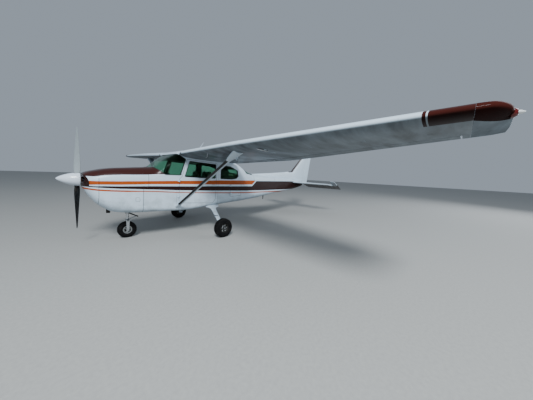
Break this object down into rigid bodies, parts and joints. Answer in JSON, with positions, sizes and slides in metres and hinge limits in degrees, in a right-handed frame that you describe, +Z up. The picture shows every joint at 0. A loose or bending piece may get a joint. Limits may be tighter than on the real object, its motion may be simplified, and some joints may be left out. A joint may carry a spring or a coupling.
{
  "type": "light aircraft",
  "caption": "Single-engine light aircraft with a strut-braced high wing, fixed nose-wheel landing gear, side doors and moving control surfaces.",
  "frame": {"origin": "on the ground, under the middle of the whole aircraft's bounding box", "axes": "+X forward, +Y to the left wing tip, +Z up"},
  "size_m": [8.2986, 10.9686, 2.5841],
  "materials": {
    "white_paint": "gloss white paint on aluminium sheet",
    "dark_paint": "gloss dark brown paint on aluminium sheet",
    "brown_plastic": "gloss dark brown moulding",
    "white_plastic": "gloss bluish white moulding",
    "window_glass": "tinted clear acrylic",
    "engine_iron": "cast metal",
    "dark_steel": "heat-darkened steel",
    "polished_alloy": "bare alloy",
    "wheel_alloy": "cast alloy",
    "painted_steel": "gloss white paint on steel",
    "bright_steel": "bright steel",
    "tyre_rubber": "matte black rubber",
    "black_plastic": "matte black",
    "floor_carpet": "carpet over foam and light sheet",
    "seat_cloth": "woven cloth over foam",
    "red_lens": "red lens",
    "green_lens": "green lens"
  },
  "bodies": {
    "airframe": {"wing_left": "white_paint", "wing_right": "white_paint", "wing_tip_left": "brown_plastic", "wing_tip_right": "brown_plastic", "windshield": "window_glass", "rear_window": "window_glass", "side_window_left": "window_glass", "side_window_right": "window_glass", "cabin_shell": "white_paint", "cowl_upper": "white_paint", "cowl_lower": "white_paint", "engine_block": "engine_iron", "exhaust_pipe": "dark_steel", "fin": "white_paint", "tail_cone": "white_paint", "stabiliser": "white_paint", "strut_left": "white_paint", "strut_right": "white_paint", "main_leg_left": "painted_steel", "main_leg_right": "painted_steel", "nose_leg": "painted_steel", "cabin_floor": "floor_carpet", "instrument_panel": "black_plastic", "control_wheel_left": "black_plastic", "control_wheel_right": "black_plastic", "front_seat_left": "seat_cloth", "front_seat_right": "seat_cloth", "rear_seat": "seat_cloth", "nav_light_left": "red_lens", "nav_light_right": "green_lens", "beacon": "red_lens", "radio_antenna": "black_plastic", "pitot_tube": "polished_alloy"},
    "propeller": {"propeller": "polished_alloy", "spinner": "white_plastic"},
    "nose_steering": {"nose_fork": "bright_steel"},
    "nose_wheel": {"nose_tyre": "tyre_rubber", "nose_rim": "wheel_alloy"},
    "main_wheel_left": {"main_tyre_left": "tyre_rubber", "main_rim_left": "wheel_alloy"},
    "main_wheel_right": {"main_tyre_right": "tyre_rubber", "main_rim_right": "wheel_alloy"},
    "door_left": {"door_left": "white_paint", "door_window_left": "window_glass"},
    "door_right": {"door_right": "white_paint", "door_window_right": "window_glass"},
    "baggage_door": {"baggage_door": "white_paint"},
    "aileron_left": {"aileron_left": "white_paint"},
    "aileron_right": {"aileron_right": "white_paint"},
    "flap_left": {"flap_left": "white_paint"},
    "flap_right": {"flap_right": "white_paint"},
    "elevator": {"elevator_left": "dark_paint", "elevator_right": "dark_paint"},
    "trim_tab": {"trim_tab": "dark_paint"},
    "rudder": {"rudder": "white_paint"}
  },
  "joints": [
    {"name": "propeller_spin", "type": "hinge", "parent": "airframe", "child": "propeller", "pos_m": [3.86671, 0, 1.27311], "axis": [0.9986, 0, 0.0523], "continuous": true},
    {"name": "nose_steering", "type": "hinge", "parent": "airframe", "child": "nose_steering", "pos_m": [3.12579, 0, 0.08671], "axis": [-0.0523, 0, 0.9986], "range_deg": [-30, 30]},
    {"name": "nose_wheel_spin", "type": "hinge", "parent": "nose_steering", "child": "nose_wheel", "pos_m": [3.12087, 0, 0.1805], "axis": [0, 1, 0], "continuous": true},
    {"name": "main_wheel_left_spin", "type": "hinge", "parent": "airframe", "child": "main_wheel_left", "pos_m": [1.4654, 1.276, 0.2225], "axis": [0, 1, 0], "continuous": true},
    {"name": "main_wheel_right_spin", "type": "hinge", "parent": "airframe", "child": "main_wheel_right", "pos_m": [1.4654, -1.276, 0.2225], "axis": [0, 1, 0], "continuous": true},
    {"name": "door_left_hinge", "type": "hinge", "parent": "airframe", "child": "door_left", "pos_m": [2.19865, 0.578, 1.03949], "axis": [0.0523, 0, -0.9986], "range_deg": [0, 60]},
    {"name": "door_right_hinge", "type": "hinge", "parent": "airframe", "child": "door_right", "pos_m": [2.19865, -0.578, 1.03949], "axis": [-0.0523, 0, 0.9986], "range_deg": [0, 60]},
    {"name": "baggage_door_hinge", "type": "hinge", "parent": "airframe", "child": "baggage_door", "pos_m": [0.76262, 0.562, 0.96424], "axis": [0.0523, 0, -0.9986], "range_deg": [0, 90]},
    {"name": "aileron_left_hinge", "type": "hinge", "parent": "airframe", "child": "aileron_left", "pos_m": [0.93589, 2.544, 1.88412], "axis": [0.0999, 0.9936, 0.0529], "range_deg": [-15, 20]},
    {"name": "aileron_right_hinge", "type": "hinge", "parent": "airframe", "child": "aileron_right", "pos_m": [0.93589, -2.544, 1.88412], "axis": [-0.0999, 0.9936, -0.0529], "range_deg": [-20, 20]},
    {"name": "flap_left_hinge", "type": "hinge", "parent": "airframe", "child": "flap_left", "pos_m": [0.91876, 0.9, 1.62987], "axis": [0.0015, -0.9996, -0.0291], "range_deg": [0, 40]},
    {"name": "flap_right_hinge", "type": "hinge", "parent": "airframe", "child": "flap_right", "pos_m": [0.91876, -0.9, 1.62987], "axis": [-0.0015, -0.9996, 0.0291], "range_deg": [0, 40]},
    {"name": "elevator_hinge", "type": "hinge", "parent": "airframe", "child": "elevator", "pos_m": [-3.44419, 0, 1.19438], "axis": [0, 1, 0], "range_deg": [0, 51]},
    {"name": "trim_tab_hinge", "type": "hinge", "parent": "elevator", "child": "trim_tab", "pos_m": [-3.71203, 0, 1.06375], "axis": [0, 1, 0], "range_deg": [-13, 28]},
    {"name": "rudder_hinge", "type": "hinge", "parent": "airframe", "child": "rudder", "pos_m": [-3.57163, 0, 1.23777], "axis": [-0.2378, 0, 0.9713], "range_deg": [-17.7, 17.7]}
  ],
  "couplings": [
    {"joint": "aileron_right_hinge", "follows": "aileron_left_hinge", "ratio": -1},
    {"joint": "flap_right_hinge", "follows": "flap_left_hinge", "ratio": 1}
  ]
}
